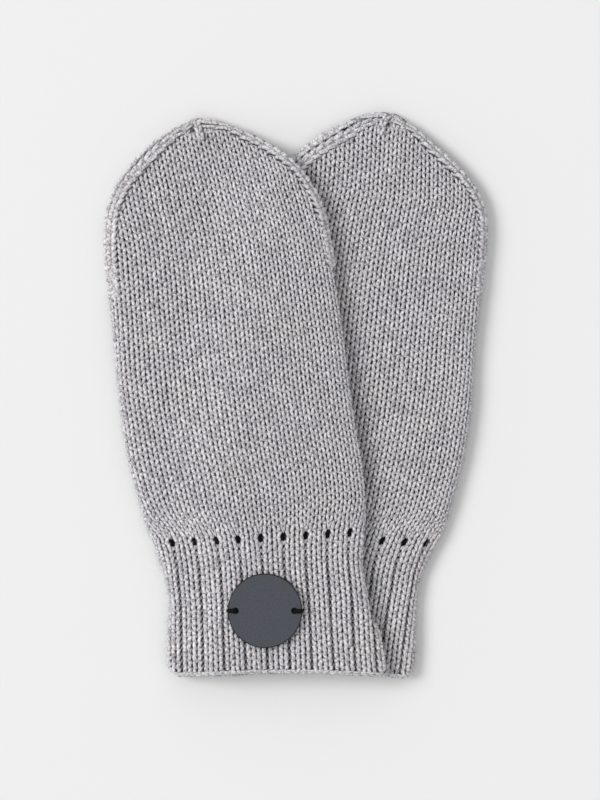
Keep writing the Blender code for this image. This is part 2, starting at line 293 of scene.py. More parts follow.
def along_at(mitten, x, y):
    """Distance from the hem of the point of a mitten that lies at x and y."""
    dx = mitten.side * x - HEM_CENTRE_X
    dy = y - HEM_CENTRE_Y + mitten.drop
    run = dy * math.cos(TILT) - dx * math.sin(TILT)
    across = dx * math.cos(TILT) + dy * math.sin(TILT)
    along = run
    for _ in range(3):
        along = (run - slant(along) * across) / mitten.stretch
    return along


def band_height(along):
    """How far the shaping bands stand up."""
    return BAND_HEIGHT * smooth_step((along - BAND_STARTS) / (BAND_FULL - BAND_STARTS))


def side_fold(mitten, across):
    """X of a mitten's side fold as a curve over Y."""
    along = np.linspace(0.0, LAST, 200)
    x, y = on_surface(mitten, along, across(along))
    order = np.argsort(y)
    return lambda at: np.interp(at, y[order], x[order])


right_fold = side_fold(RIGHT, IN_HALVES["right"])
left_fold = side_fold(LEFT, lambda along: -OUT_HALVES["left"](along))
lap_fold = side_fold(LEFT, IN_HALVES["left"])


def support(mitten, x, y):
    """Height of what a mitten lies on: the surface, or the right mitten under the left one."""
    if mitten is RIGHT:
        return np.zeros_like(x)
    inside = x - right_fold(y)
    outside = np.clip(RAMP_SHARE * (right_fold(y) - left_fold(y)), 0.0, RAMP_MOST)
    lap = smooth_step((inside + outside) / (outside + RAMP_INSIDE))
    along = along_at(RIGHT, x, y)
    return lap * (thickness(along) + band_height(along) + LAP_GAP)


class Cloth:
    """A mitten's outer surface, sampled on a grid along it and round its ring."""

    ALONG_STEP = 0.5 * MM
    RING_STEPS = 150  # on each layer

    def __init__(self, mitten):
        self.mitten = mitten
        self.runs = np.arange(0.0, LAST, self.ALONG_STEP)
        rows, girths = zip(*[self.ring(run) for run in self.runs])
        self.points = np.array(rows)
        self.girths = np.array(girths)
        down = np.gradient(self.points, axis=0)
        round_ = np.roll(self.points, -1, axis=1) - np.roll(self.points, 1, axis=1)
        normals = np.cross(round_, down) * mitten.side
        self.normals = normals / np.linalg.norm(normals, axis=2, keepdims=True)

    def ring(self, along):
        name = self.mitten.name
        left, right = float(OUT_HALVES[name](along)), float(IN_HALVES[name](along))
        high = float(thickness(along))
        fold = FOLD_SHARE * high
        turn = np.linspace(0.0, math.pi / 2, 24)
        layers, girths = [], []
        for edge, rise in ((TOP_EDGE, high - fold), (UNDER_EDGE, -fold)):
            edge_left, edge_right = min(edge, 0.85 * left), min(edge, 0.85 * right)
            across = np.concatenate([
                edge_left * (1 - np.cos(turn)) - left,
                right - edge_right * (1 - np.cos(turn[::-1])),
            ])
            height = fold + rise * np.concatenate([np.sin(turn), np.sin(turn[::-1])])
            girth = np.concatenate([[0.0], np.cumsum(np.hypot(np.diff(across), np.diff(height)))])
            even = np.linspace(0.0, girth[-1], self.RING_STEPS + 1)
            layers.append((np.interp(even, girth, across), np.interp(even, girth, height)))
            girths.append(girth[-1])
        (top, top_height), (low, low_height) = layers
        across = np.concatenate([top[:-1], low[:0:-1]])
        height = np.concatenate([top_height[:-1], low_height[:0:-1]])
        x, y = on_surface(self.mitten, np.full(len(across), along), across)
        return np.stack([x, y, height + support(self.mitten, x, y)], axis=1), girths

    def girth(self, along, layer):
        """Girth of the upper (0) or under (1) layer."""
        return np.interp(along, self.runs, self.girths[:, layer])

    def sample(self, along, ring):
        """Points and outward normals at places along the mitten and round its ring."""
        row = np.clip(along / self.ALONG_STEP, 0, len(self.runs) - 1.001)
        column = np.mod(ring, 2.0) * self.RING_STEPS
        i, j = row.astype(int), column.astype(int) % (2 * self.RING_STEPS)
        k = (j + 1) % (2 * self.RING_STEPS)
        s, t = (row - i)[..., None], (column - np.floor(column))[..., None]
        found = []
        for grid in (self.points, self.normals):
            near = grid[i, j] * (1 - t) + grid[i, k] * t
            far = grid[i + 1, j] * (1 - t) + grid[i + 1, k] * t
            found.append(near * (1 - s) + far * s)
        points, normals = found
        beyond = np.clip(along - self.runs[-1], 0.0, None)[..., None]
        before = np.clip(along, None, 0.0)[..., None]
        points = points + (beyond + before) * tipward(self.mitten)
        return points, normals / np.linalg.norm(normals, axis=-1, keepdims=True)


def tipward(mitten):
    """Direction from the hem of a mitten to its tip."""
    return np.array([-mitten.side * math.sin(TILT), math.cos(TILT), 0.0])


def off_purl(wale):
    """How far a wale is from the nearest purl wale, in wales, on either side of it."""
    return np.mod(wale + 1.5, 3) - 1.5


def rib_shares(wale):
    """Place of a wale in the ribs' own uneven spacing, in wales."""
    repeat = np.floor((wale + 0.5) / 3)
    inside = wale - 3 * repeat
    knit, purl = 3 * RIB_KNIT_SHARE, 3 * (1 - 2 * RIB_KNIT_SHARE)
    uneven = np.where(
        inside < 0.5,
        inside * purl,
        purl / 2 + (inside - 0.5) * knit,
    )
    return 3 * repeat + uneven


def ribbed(along):
    """How far a place is in the ribs: 1 below the eyelets and 0 above them."""
    return 1 - smooth_step((along - RIBS_END) / RIBS_FADE)


def eyelet_bulge(wale, along):
    """How far a wale is pushed aside by the nearest eyelet, in wales."""
    offset = off_purl(wale)
    reach = np.clip(np.abs(offset) / 0.5, 0, 1) * (1 - smooth_step(np.abs(offset) - 0.5))
    return EYELET_PUSH * np.sign(offset) * reach * np.exp(-(((along - EYELET_MIDDLE) / EYELET_REACH) ** 4))


def ring_place(cloth, wale, along):
    """Place round the ring of a wale, counted from the outer fold at the wrist."""
    mitten = cloth.mitten
    upper, under = cloth.girth(along, 0), cloth.girth(along, 1)
    rib = ribbed(along)
    even = rib * rib_shares(wale) + (1 - rib) * wale + eyelet_bulge(wale, along)
    in_hand = smooth_step((along - WRIST) / HAND_SPREAD)
    pitch = wale_pitch(along) * (1 - (1 - mitten.snug) * in_hand)
    half = upper / 2
    offset = (even + 3 * mitten.rib_phase - MIDDLE_WALE) * pitch
    bunching = mitten.bunching * in_hand
    drift = -mitten.rib_drift * np.clip(WRIST - along, 0.0, None)
    drift = drift - TIP_DRIFT * np.clip(along - TIP_NARROWS, 0.0, None)
    place = half + offset + bunching * half * np.clip(offset / half, -1, 1) ** 2 + drift
    under_pitch = under / (WALES - upper / pitch)
    left_over = place / pitch * under_pitch / under
    right_over = 1 + (place - upper) / pitch * under_pitch / under
    return np.where(place < 0, left_over, np.where(place > upper, right_over, place / upper))


def fold_distance(cloth, along, ring):
    """Distance round the ring to the outer and the inner fold, positive on the upper layer."""
    ring = np.mod(ring, 2.0)
    upper, under = cloth.girth(along, 0), cloth.girth(along, 1)
    on_top = ring <= 1
    outer = np.where(on_top, ring * upper, -(2 - ring) * under)
    inner = np.where(on_top, (1 - ring) * upper, -(ring - 1) * under)
    return outer, inner


def flank_slope(mitten, along, inner):
    """How much longer a mitten's outline runs than its line, at its inner or outer fold."""
    half = (IN_HALVES if inner else OUT_HALVES)[mitten.name]
    step = 0.4 * MM
    slope = (half(along + step) - half(along - step)) / (2 * step)
    return np.minimum(np.sqrt(1 + slope**2), 2.4)


def notched(cloth, along, ring):
    """How close a place is to the hollow under the gathered tip: 1 in its middle."""
    aside = (np.mod(ring, 2.0) - NOTCH_RING) * cloth.girth(along, 0)
    return np.exp(-((along - NOTCH_ALONG) ** 2 + aside**2) / NOTCH_RADIUS**2)


def band_taper(along):
    """How wide the shaping bands are, as a share: they narrow where they meet at the tip."""
    return 1 - TAPER_SHARE * smooth_step((along - TAPER_STARTS) / TAPER_LENGTH)


def in_band(cloth, along, ring):
    """Whether a place lies in one of the shaping bands beside the folds."""
    mitten = cloth.mitten
    started = smooth_step((along - BAND_STARTS + BAND_LEAD) / (BAND_FULL - BAND_STARTS))
    grown = started * band_taper(along)
    near_tip = smooth_step((along - TIP_NARROWS) / TIP_FADE)
    tucked = (BAND_TUCK + BAND_TIP_TUCK * near_tip) * wale_pitch(along)
    outer, inner = fold_distance(cloth, along, ring)
    total = BAND_CHAINS * BAND_CHAIN_WIDTH
    inside = np.zeros(np.shape(along), bool)
    for distance, reach, is_inner in ((outer, mitten.band_out, False), (inner, mitten.band_in, True)):
        scale = grown * flank_slope(mitten, along, is_inner)
        inside |= (distance < reach * scale - tucked) & (distance > (reach - total) * scale + tucked)
    return inside


def dips(legs):
    """How far each point of a leg dips among its neighbours, in yarn radii: the strength of the painted shade
    there.
    """
    return np.clip(0.1 - np.array([point.out for point in legs]), 0.0, 1.6)


def strip_faces(index):
    """Faces between the neighbours in grids of point numbers, one grid for each piece of yarn."""
    corners = [index[:, :-1, :-1], index[:, :-1, 1:], index[:, 1:, 1:], index[:, 1:, :-1]]
    return np.stack(corners, axis=-1).reshape(-1, 4)


def tubes(name, centres, outward, radii, arc_points=6, spread=math.radians(125), sunk=0.0):
    """One mesh of open-backed yarn pieces. centres and outward are (pieces, points, 3), and sunk is how much
    painted shade each point gets.
    """
    count, steps, _ = centres.shape
    tangent = np.gradient(centres, axis=1)
    tangent /= np.linalg.norm(tangent, axis=2, keepdims=True)
    side = np.cross(tangent, outward)
    side /= np.linalg.norm(side, axis=2, keepdims=True)
    up = np.cross(side, tangent)
    turn = np.linspace(-spread, spread, arc_points)
    radii = np.broadcast_to(radii, (count, steps))[..., None, None]
    verts = centres[:, :, None] + radii * (
        np.cos(turn)[:, None] * up[:, :, None] + np.sin(turn)[:, None] * side[:, :, None]
    )
    base = np.arange(count * steps * arc_points).reshape(count, steps, arc_points)
    steps_along = np.linalg.norm(np.diff(centres, axis=1), axis=2)
    length = np.concatenate([np.zeros((count, 1)), np.cumsum(steps_along, axis=1)], axis=1)
    shift = RNG.uniform(0, 400, count)
    verts[..., 2] = np.maximum(verts[..., 2], 0.02 * MM)
    u = np.broadcast_to((length / MM + shift[:, None])[..., None], base.shape).reshape(-1)
    # Painted shade: V drives the darkening of the yarn's sides in the material, spread less on yarn that
    # faces sideways, as at the folds.
    flank_shade_spread = 0.45 + 0.55 * np.abs(np.broadcast_to(outward, centres.shape)[..., 2:])
    v = (flank_shade_spread * turn / (2 * math.pi) + 0.5).reshape(-1)
    dip = np.broadcast_to(np.broadcast_to(sunk, (count, steps))[..., None], base.shape).reshape(-1)
    layers = {"yarn": np.stack([u, v], axis=1), "dip": np.stack([dip, dip], axis=1)}
    return mesh_object(name, verts.reshape(-1, 3), strip_faces(base), layers)


def mesh_object(name, verts, quads, uv_layers=None):
    """A smooth object from points, faces by their corners' numbers, and a UV for each point of each layer."""
    mesh = bpy.data.meshes.new(name)
    mesh.vertices.add(len(verts))
    mesh.vertices.foreach_set("co", np.ascontiguousarray(verts, np.float32).ravel())
    mesh.loops.add(quads.size)
    mesh.loops.foreach_set("vertex_index", quads.ravel().astype(np.int32))
    mesh.polygons.add(len(quads))
    mesh.polygons.foreach_set("loop_start", np.arange(0, quads.size, quads.shape[1], dtype=np.int32))
    mesh.update(calc_edges=True)
    for layer_name, uv in (uv_layers or {}).items():
        layer = mesh.uv_layers.new(name=layer_name)
        layer.data.foreach_set("uv", uv[quads.ravel()].astype(np.float32).ravel())
    mesh.polygons.foreach_set("use_smooth", np.ones(len(quads), bool))
    made = bpy.data.objects.new(name, mesh)
    bpy.context.scene.collection.objects.link(made)
    return made


def wobble(wale, along, seed):
    """A slow unevenness of the knitting, between -1 and 1."""
    along = along / MM
    return 0.6 * (
        np.sin(0.21 * wale + 0.09 * along + seed) * np.sin(0.083 * along - 0.17 * wale + 2 * seed)
        + 0.6 * np.sin(0.23 * along + 0.45 * wale + 3 * seed)
    )


def knit_legs(name, cloth, wales, runs, height, fine):
    """Yarn legs for stitches given by their wale and their distance along."""
    count = len(wales)
    leg = np.array(LEG)
    middle = runs + 0.45 * height
    edges = [cloth.sample(middle, ring_place(cloth, wales + edge, middle))[0] for edge in (-0.5, 0.5)]
    width = np.clip(np.linalg.norm(edges[1] - edges[0], axis=1), WALE_LEAST, WALE_MOST)
    sides = np.tile([-1.0, 1.0], count)
    wales, runs, width = (np.repeat(a, 2)[:, None] for a in (wales, runs, width))
    jitter = RNG.normal(0, 1, (4, 2 * count, 1))
    along = runs + (leg[:, 1] + JITTER_ALONG * jitter[0]) * height
    rib = ribbed(along)
    lean = (1 - (1 - RIB_LEAN) * rib) * (1 + JITTER_LEAN * jitter[1])
    across = LEG_PLACE + (leg[:, 0] - LEG_CENTRE) * lean + JITTER_ACROSS * jitter[2]
    wale = wales + sides[:, None] * across + WANDER * wobble(wales, along, cloth.mitten.side)
    points, normals = cloth.sample(along, ring_place(cloth, wale, along))
    radius = YARN_SHARE * width * (1 + JITTER_RADIUS * jitter[3] + RIB_SWELL * rib)
    waves = WAVES * wobble(wales * 1.3, along * 0.7, 2.0 + cloth.mitten.side)
    set_back = RIB_ROUNDING * rib * (1 - smooth_step((np.abs(off_purl(wale)) - 0.5) / 0.9))
    lift = radius * leg[:, 2] - YARN_DEPTH + waves - set_back
    centres = points + lift[..., None] * normals
    # Painted shade: the legs' ends, where they dip under their neighbours, are darkened.
    return tubes(name, centres, normals, radius * leg[:, 3], 6 if fine else 4, sunk=dips(LEG))


def covered(cloth, along, ring, margin):
    """Whether a place is hidden between the two mittens, further in than the margin."""
    points, _ = cloth.sample(along, ring)
    x, y = points[..., 0], points[..., 1]
    upper = np.mod(ring, 2.0) <= 1
    if cloth.mitten is RIGHT:
        return upper & (x < lap_fold(y) - margin) & (x > left_fold(y) + margin)
    return ~upper & (x > right_fold(y) + margin)


def stitch_grid(cloth, runs, wales):
    """Each wale at each run, without those in the bands or hidden between the mittens."""
    along, wale = (a.ravel() for a in np.meshgrid(runs, wales, indexing="ij"))
    ring = ring_place(cloth, wale, along)
    shown = ~in_band(cloth, along, ring) & ~covered(cloth, along, ring, LAP_MARGIN)
    shown &= notched(cloth, along + 0.8 * MM, ring) < 0.4
    return along[shown], wale[shown], ring[shown]


def stitched(name, cloth, wale, along, ring, height):
    """The stitches of one part, in pieces by layer and height."""
    upper = np.mod(ring, 2.0) <= 1
    high = along > HIGH_ROWS
    made = []
    for layer, chosen in (
        ("upper_low", upper & ~high), ("upper_high", upper & high),
        ("under_low", ~upper & ~high), ("under_high", ~upper & high),
    ):
        if chosen.any():
            piece = f"{name}_{layer}_stitches"
            fine = layer.startswith("upper")
            made.append(knit_legs(piece, cloth, wale[chosen], along[chosen], height, fine))
    return made


def all_wales():
    """The numbers of the wales round a mitten. Each third one, from 0, is a purl wale in the ribs."""
    first = math.ceil(-WALES / 4)
    return np.arange(first, first + WALES)


def hand_pieces(cloth):
    """The stockinette of the hand."""
    runs = np.linspace(FIRST_ROW, LAST_ROW, HAND_ROWS)
    along, wale, ring = stitch_grid(cloth, runs, all_wales())
    return stitched(f"{cloth.mitten.name}_hand", cloth, wale, along, ring, runs[1] - runs[0])


def rib_pieces(cloth):
    """The ribs of the cuff: pairs of knit wales, and purl wales that end below the eyelets."""
    height = (FIRST_ROW - HEM_ROW) / RIB_ROWS
    runs = HEM_ROW + height * np.arange(RIB_ROWS)
    along, wale, ring = stitch_grid(cloth, runs, all_wales())
    knit = np.mod(wale, 3) != 0
    made = stitched(f"{cloth.mitten.name}_cuff", cloth, wale[knit], along[knit], ring[knit], height)
    purl = ~knit & (along < EYELET_MIDDLE - EYELET_LENGTH / 2)
    made.append(purl_bumps(cloth, wale[purl], along[purl], height))
    return made


def purl_bumps(cloth, wales, runs, height):
    """The purl wales, sunk between the ribs: one short bar of yarn across the groove for each row, with
    painted shade that deepens below the eyelets.
    """
    share = np.linspace(-1.0, 1.0, 5)
    wale = wales[:, None] + PURL_REACH * share
    along = runs[:, None] + height * (0.04 + 0.22 * share**2)
    points, normals = cloth.sample(along, ring_place(cloth, wale, along))
    lower = smooth_step((EYELET_MIDDLE - along) / PURL_FADE)
    lift = -YARN_DEPTH - GROOVE_DEPTH * (0.6 + 0.5 * lower) * (0.9 + 0.4 * share**2)
    centres = points + lift[..., None] * normals
    name = f"{cloth.mitten.name}_purl_stitches"
    # Painted shade: the groove's yarn is darkened, more so further below the eyelets.
    return tubes(name, centres, normals, PURL_RADIUS, 5, sunk=0.42 + 0.35 * lower)


def chain(name, path, normals, starts, width, share):
    """A chain of stitches along a path of points with outward normals, and a core that fills its middle; both
    carry painted shade.

    starts are points of the path, width is the chain's width at each of them, and share is the yarn's radius
    as a share of the width.
    """
    steps = np.linalg.norm(np.diff(path, axis=0), axis=1)
    run = np.concatenate([[0.0], np.cumsum(steps)])
    marks = np.interp(starts, np.arange(len(path)), run)
    lengths = np.repeat(np.diff(marks), 2)[:, None]
    marks = np.repeat(marks[:-1], 2)[:, None]
    count = len(marks)
    leg = np.array(BAND_LEG)
    sides = np.tile([-1.0, 1.0], count // 2)[:, None]
    at = marks + leg[:, 1] * lengths

    def along_path(values):
        return np.stack([np.interp(at, run, values[:, k]) for k in range(3)], axis=-1)

    centres, outward = along_path(path), along_path(normals)
    heading = along_path(np.gradient(path, run, axis=0))
    outward /= np.linalg.norm(outward, axis=-1, keepdims=True)
    sideways = np.cross(heading, outward)
    sideways /= np.linalg.norm(sideways, axis=-1, keepdims=True)
    over = np.clip(at - run[-1], 0, None) + np.clip(at, None, 0)
    jitter = 1 + JITTER_CHAIN * RNG.normal(0, 1, (count, 1))
    centres = centres + over[..., None] * heading
    wide = np.interp(at, run, np.broadcast_to(width, run.shape))
    centres = centres + (sides * leg[:, 0] * wide * jitter)[..., None] * sideways
    centres = centres + (leg[:, 2] * share * wide)[..., None] * outward
    # Painted shade: the legs darken where they dip, and the core is darkened all along, as the shade under
    # the chain.
    legs = tubes(name, centres, outward, share * wide * leg[:, 3] * jitter, 6, sunk=0.8 * dips(BAND_LEG))
    core = (path - 0.4 * MM * normals)[None, ::3]
    core_radii = 0.4 * np.broadcast_to(width, run.shape)[None, ::3]
    return [legs, tubes(name + "_core", core, normals[None, ::3], core_radii, 4, sunk=0.5)]


def band_path(cloth, is_inner, index):
    """Places along and round the ring of one chain of a shaping band, up to the gathered tip."""
    mitten = cloth.mitten
    along = np.linspace(BAND_STARTS - BAND_LEAD, LAST - 0.3 * MM, BAND_POINTS)
    reach = mitten.band_in if is_inner else mitten.band_out
    upper, under = cloth.girth(along, 0), cloth.girth(along, 1)
    slope = flank_slope(mitten, along, is_inner) * band_taper(along)
    room = np.minimum(1.0, 0.42 * upper / (reach * slope))
    distance = (reach - (index + 0.5) * BAND_CHAIN_WIDTH) * slope * room
    share = np.where(distance > 0, distance / upper, distance / under)
    ring = 1 - share if is_inner else share
    if index == 0:
        gathered = smooth_step((along - LAST + GATHER_LENGTH) / GATHER_LENGTH)
        ring = ring + gathered * ((GATHER_INNER if is_inner else GATHER_OUTER) - ring)
        along = along - gathered * 0.5 * MM
    elif index == 1 and not is_inner:
        over = np.array([0.42, 0.58, 0.74, 0.78, 0.66])
        back = np.array([0.2, 0.1, 0.5, 1.3, 2.0]) * MM
        ring = np.append(ring, over)
        along = np.append(along, LAST - back)
    return along, ring


def band_pieces(cloth):
    """The shaping bands: chains of stitches that run up both folds and meet at the tip, one for each row."""
    mitten = cloth.mitten
    made = []
    for is_inner in (False, True):
        for index in range(BAND_CHAINS):
            along, ring = band_path(cloth, is_inner, index)
            points, normals = cloth.sample(along, ring)
            raised = band_height(along) * (1.0 if index == 0 else 0.4) - YARN_DEPTH
            points = points + raised[:, None] * normals
            per_row = (LAST - WRIST) / HAND_ROWS / (along[1] - along[0])
            starts = np.arange(BAND_POINTS - 1, 0, -per_row)[::-1]
            if len(along) > BAND_POINTS:
                starts = np.concatenate([starts, BAND_POINTS + np.array([1.0, 2.5, 4.0])])
            name = f"{mitten.name}_band_{'inner' if is_inner else 'outer'}_{index}"
            width = BAND_CHAIN_WIDTH * band_taper(along)
            made.extend(chain(name, points, normals, starts, width, BAND_YARN_SHARE))
    return made


def tip_piece(cloth):
    """The yarn drawn through the last stitches: a few turns that close the tip under the bands, with painted
    shade that is darkest in the hollow.
    """
    turns = LAST - np.array(TIP_TURNS) * MM
    along, ring = np.meshgrid(turns, np.linspace(0.0, 2.0, 90), indexing="ij")
    points, normals = cloth.sample(along, ring)
    hollow = notched(cloth, along, ring)
    centres = points - (0.7 + 0.7 * hollow)[..., None] * MM * normals
    axis = tipward(cloth.mitten)
    last = centres[-1:]
    middle = last.mean(axis=1, keepdims=True)
    closing = [middle + share * (last - middle) + 0.1 * MM * axis for share in (0.55, 0.15)]
    centres = np.concatenate([centres] + closing)
    outward = np.concatenate([normals] + [np.broadcast_to(axis, last.shape)] * 2)
    hollow = np.concatenate([hollow, np.zeros((2, hollow.shape[1]))])
    name = f"{cloth.mitten.name}_gathered_tip"
    # Painted shade: the turns are darkened, most in the hollow under the bands.
    return tubes(name, centres, outward, TIP_YARN_RADIUS, 5, sunk=0.2 + 0.9 * hollow)


def hook_piece(cloth):
    """The last stitches, drawn up beside the hollow and over the tip to the back."""
    along = LAST - np.append(np.linspace(5.4, 0.3, 40), [0.4, 1.2, 2.2]) * MM
    ring = np.append(HOOK_RING - 0.02 * np.linspace(0, 1, 40), [0.6, 0.8, 1.0])
    points, normals = cloth.sample(along, ring)
    points = points + 0.2 * MM * normals
    starts = [0.0, 14.0, 27.0, 38.5, 42.0]
    name = f"{cloth.mitten.name}_tip_hook"
    return chain(name, points, normals, starts, HOOK_WIDTH, HOOK_YARN_SHARE)


def hem_piece(cloth):
    """The cast-off edge: a chain of stitches round the mouth of the cuff."""
    count = 500
    ring = np.linspace(0.0, 2.0, count)
    points, normals = cloth.sample(np.full(count, HEM_ROW), ring)
    outward = normals - 0.8 * tipward(cloth.mitten)
    outward /= np.linalg.norm(outward, axis=1, keepdims=True)
    path = points - 0.4 * MM * normals
    starts = np.linspace(0, count - 1, WALES + 1)
    name = f"{cloth.mitten.name}_cast_off"
    return chain(name, path, outward, starts, CAST_OFF_WIDTH, CAST_OFF_YARN_SHARE)


def fuzz_piece(cloth):
    """Loose wool fibres that stand off the yarn, each a thin curved ribbon."""
    count, steps = FIBRES, 5
    along = RNG.uniform(0.0, LAST - 2 * MM, count)
    at_fold = RNG.integers(0, 2, count) + RNG.normal(0, 0.03, count)
    ring = np.where(RNG.random(count) < 0.4, at_fold, RNG.uniform(-0.05, 1.05, count))
    shown = ~covered(cloth, along, ring, 0.0) & (np.abs(along - EYELET_MIDDLE) > 2.6 * MM)
    along, ring = along[shown], ring[shown]
    count = len(along)
    points, normals = cloth.sample(along, ring)
    heading = RNG.normal(0, 1, (count, 3))
    heading -= (heading * normals).sum(axis=1, keepdims=True) * normals
    heading /= np.linalg.norm(heading, axis=1, keepdims=True)
    sideways = np.cross(normals, heading)
    length = RNG.uniform(FIBRE_LEAST, FIBRE_MOST, (count, 1, 1))
    rise = RNG.uniform(0.15, 0.6, (count, 1, 1))
    curl = RNG.uniform(-0.5, 0.5, (count, 1, 1))
    t = np.linspace(0, 1, steps)[None, :, None]
    path = points[:, None] - 0.15 * MM * normals[:, None] + length * (
        t * heading[:, None] + (rise * t - 0.4 * rise * t**2) * normals[:, None]
        + curl * t**2 * sideways[:, None]
    )
    path[..., 2] = np.maximum(path[..., 2], 0.1 * MM)
    edge = np.cross(np.gradient(path, axis=1), RNG.normal(0, 0.5, (count, 1, 3)) + [0.0, 0.0, 1.0])
    edge /= np.linalg.norm(edge, axis=2, keepdims=True)
    width = FIBRE_RADIUS * (1 - 0.6 * t)
    verts = np.stack([path - width * edge, path + width * edge], axis=2)
    base = np.arange(count * steps * 2).reshape(count, steps, 2)
    u = np.broadcast_to(RNG.uniform(0, 400, (count, 1, 1)) + t, base.shape).reshape(-1)
    layers = {
        "yarn": np.stack([u, np.full(len(u), 0.5)], axis=1),
        "dip": np.zeros((len(u), 2)),
    }
    return mesh_object(f"{cloth.mitten.name}_fuzz", verts.reshape(-1, 3), strip_faces(base), layers)


def backing(cloth, part, runs):
    """A thin shell just under the yarn, near black as painted shade that shows through the gaps and eyelets:
    a closed wall, open at its ends, with a pit at each eyelet.
    """
    fine = 4 if part == "cuff" else 2
    wales = all_wales()[0] + np.arange(fine * WALES) / fine
    along, wale = np.meshgrid(runs, wales, indexing="ij")
    points, normals = cloth.sample(along, ring_place(cloth, wale, along))
    off_eyelet = np.abs(along - EYELET_MIDDLE) / EYELET_LENGTH
    pit = np.clip(2 - 4 * np.abs(off_purl(wale)), 0, 1) * np.clip(2 - 2.4 * off_eyelet, 0, 1)
    depth = (BACKING_DEPTH + EYELET_DEPTH * pit)[..., None]
    outer = points - depth * normals
    inner = points - (depth + BACKING_WALL) * normals
    if runs[-1] >= LAST:
        middle = outer[-1:].mean(axis=1, keepdims=True)
        outer = np.concatenate([outer, 0.98 * middle + 0.02 * outer[-1:]])
        inner = np.concatenate([inner, 0.98 * middle + 0.02 * inner[-1:] - [[[0, 0.5 * MM, 0]]]])
    verts = np.concatenate([outer, inner[::-1]])
    rows, columns = verts.shape[:2]
    verts = verts.reshape(-1, 3)
    index = np.arange(rows * columns).reshape(rows, columns)
    index = np.concatenate([index, index[:1]])
    quads = np.stack([
        index[:-1], np.roll(index, -1, axis=1)[:-1],
        np.roll(index, -1, axis=1)[1:], index[1:],
    ], axis=-1).reshape(-1, 4)
    if cloth.mitten.side < 0:
        quads = quads[:, ::-1]
    made = mesh_object(f"{cloth.mitten.name}_{part}_cloth", verts, quads)
    inside = np.repeat(np.arange(rows) >= len(outer) - 1, columns)
    made.data.polygons.foreach_set("material_index", inside.astype(np.int32))
    return made


def tag_piece():
    """The leather disc, its rim rounded over and darker, partly painted shade, with a hole at each side and
    the thread through each hole.
    """
    low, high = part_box("leather_tag")
    centre, radius = (low + high) / 2, (high.x - low.x) / 2
    bpy.ops.mesh.primitive_cylinder_add(
        vertices=128, radius=radius, depth=high.z - low.z, location=centre
    )
    tag = bpy.context.object
    tag.name = "leather_disc"
    for side in (-1, 1):
        offset = Vector((side * (radius - TAG_HOLE_INSET), 0, 0))
        bpy.ops.mesh.primitive_cylinder_add(
            vertices=24, radius=TAG_HOLE_RADIUS, depth=6 * MM, location=centre + offset
        )
        punch = bpy.context.object
        cut = tag.modifiers.new("hole", "BOOLEAN")
        cut.object = punch
        bpy.context.view_layer.objects.active = tag
        bpy.ops.object.modifier_apply(modifier=cut.name)
        bpy.data.objects.remove(punch)
    rounding = tag.modifiers.new("rounding", "BEVEL")
    rounding.width = TAG_ROUNDING
    rounding.segments = 3
    rounding.limit_method = "ANGLE"
    bpy.ops.object.modifier_apply(modifier=rounding.name)
    bpy.ops.object.transform_apply(location=True, rotation=True, scale=True)
    tag.data.materials.clear()
    tag.data.materials.append(plain_material("slate_leather", (0.073, 0.079, 0.092), 0.65, 0.4, 2500.0))
    # Partly painted shade: the rim's dark colour is the leather's dark cut edge and the shade at its rim
    # together.
    tag.data.materials.append(plain_material("burnished_edge", (0.02, 0.021, 0.024), 0.6))
    tag.data.shade_smooth()
    for face in tag.data.polygons:
        face.use_smooth = abs(face.normal.z) < 0.99
        at_rim = (face.center - centre).xy.length > TAG_RIM_SHARE * radius
        face.material_index = int(at_rim and face.normal.z < 0.99)
    threads = [thread_piece(side, centre, radius, high.z) for side in (-1, 1)]
    return tag, threads


def thread_piece(side, centre, radius, top):
    """One stitch of thread, out of a hole of the tag and down over its rim."""
    hole = centre.x + side * (radius - TAG_HOLE_INSET)
    rim = centre.x + side * (radius - 0.2 * MM)
    share = np.linspace(0, 1, 18)
    x = hole + (rim - hole) * share
    down = np.clip(np.abs(share - 0.5) * 2 - 0.55, 0, 1)
    z = top + THREAD_RISE - 7.0 * MM * down**2
    y = np.full(len(share), centre.y - (0.1 * MM if side > 0 else 0.0))
    path = np.stack([x, y, z], axis=1)[None]
    outward = np.broadcast_to([0.0, 0.0, 1.0], path.shape)
    name = f"thread_{'left' if side < 0 else 'right'}"
    return tubes(name, path, outward, THREAD_RADIUS, 13, math.pi)


def node_material(name):
    made = bpy.data.materials.new(name)
    made.use_nodes = True
    nodes = made.node_tree.nodes
    return made, nodes, made.node_tree.links, nodes["Principled BSDF"]


def ramp(nodes, links, factor, stops):
    """A colour ramp over a factor. stops are pairs of a place and a colour."""
    made = nodes.new("ShaderNodeValToRGB")
    elements = made.color_ramp.elements
    while len(elements) < len(stops):
        elements.new(0.5)
    for element, (place, colour) in zip(elements, stops):
        element.position = place
        element.color = (*colour, 1.0)
    links.new(factor, made.inputs["Fac"])
    return made.outputs["Color"]


def noise(nodes, links, vector, scale, detail=2.0):
    """A cloudy pattern between 0 and 1."""
    made = nodes.new("ShaderNodeTexNoise")
    made.inputs["Scale"].default_value = scale
    made.inputs["Detail"].default_value = detail
    links.new(vector, made.inputs["Vector"])
    return made.outputs["Fac"]


def vector_maths(nodes, links, vector, operation, by):
    made = nodes.new("ShaderNodeVectorMath")
    made.operation = operation
    made.inputs[1].default_value = by
    links.new(vector, made.inputs[0])
    return made.outputs["Value" if operation == "DOT_PRODUCT" else "Vector"]


def multiplied(nodes, links, first, second):
    """Two colours multiplied."""
    mix = nodes.new("ShaderNodeMix")
    mix.data_type = "RGBA"
    mix.blend_type = "MULTIPLY"
    mix.inputs["Factor"].default_value = 1.0
    links.new(first, mix.inputs["A"])
    links.new(second, mix.inputs["B"])
    return mix.outputs["Result"]


